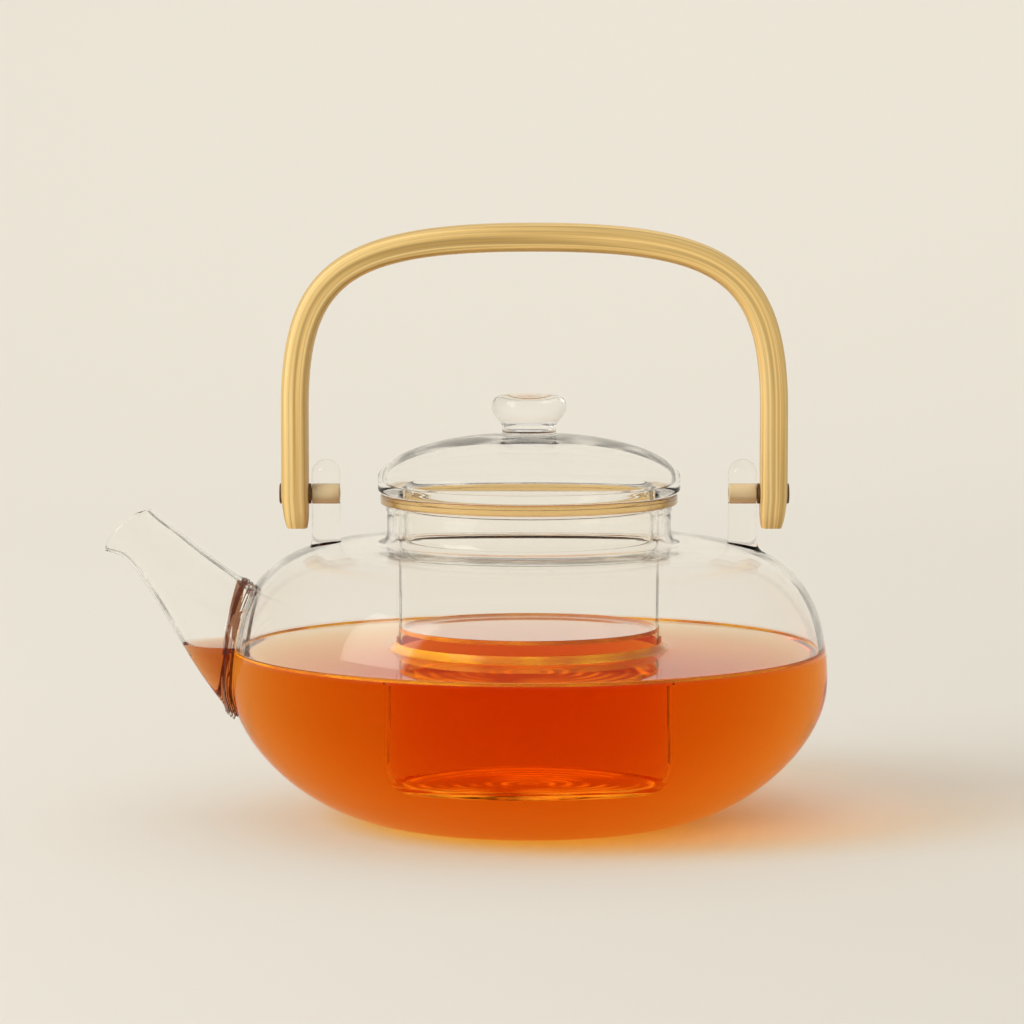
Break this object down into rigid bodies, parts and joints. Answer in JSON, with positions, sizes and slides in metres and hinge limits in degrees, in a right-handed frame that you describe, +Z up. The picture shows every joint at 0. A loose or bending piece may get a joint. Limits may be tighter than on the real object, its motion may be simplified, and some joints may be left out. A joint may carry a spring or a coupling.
{
  "type": "glass teapot",
  "caption": "Low round glass teapot with a raised conical spout, a hinged bamboo bow handle, a lift-out glass infuser with a soft seal ring, and a domed glass lid with a hollow knob.",
  "frame": {"origin": "on the bowl's axis, on the plane that its flat base stands on", "axes": "+Z up along the bowl's axis; the spout points towards -X, so +X is away from the spout; the bow handle lies in the XZ plane when upright"},
  "size_m": [0.1918, 0.1582, 0.1578],
  "materials": {
    "clear_glass": "clear, fire-polished borosilicate",
    "bamboo": "satin, bent bamboo with fibres along its length",
    "amber_silicone": "translucent satin silicone",
    "bronzed_pin": "dark bronze lacquer over steel"
  },
  "bodies": {
    "pot": {"vessel_body": "clear_glass", "spout": "clear_glass", "spout_root_ring": "clear_glass", "lug_spout_side": "clear_glass", "lug_back_side": "clear_glass", "bush_spout_side": "amber_silicone", "bush_back_side": "amber_silicone"},
    "handle": {"handle_bow": "bamboo", "pin_spout_side": "bronzed_pin", "pin_back_side": "bronzed_pin", "washer_spout_side": "bronzed_pin", "washer_back_side": "bronzed_pin"},
    "infuser": {"infuser": "clear_glass", "seal_ring": "amber_silicone"},
    "lid": {"lid": "clear_glass", "lid_knob": "clear_glass"}
  },
  "joints": [
    {"name": "handle_swing", "type": "hinge", "parent": "pot", "child": "handle", "pos_m": [0.0014, 0, 0.0863], "axis": [1, 0, 0], "range_deg": [-98, 98]},
    {"name": "infuser_lift", "type": "slide", "parent": "pot", "child": "infuser", "axis": [0, 0, 1], "range_m": [0, 0.018]},
    {"name": "lid_lift", "type": "slide", "parent": "infuser", "child": "lid", "axis": [0, 0, 1], "range_m": [0, 0.016]}
  ]
}
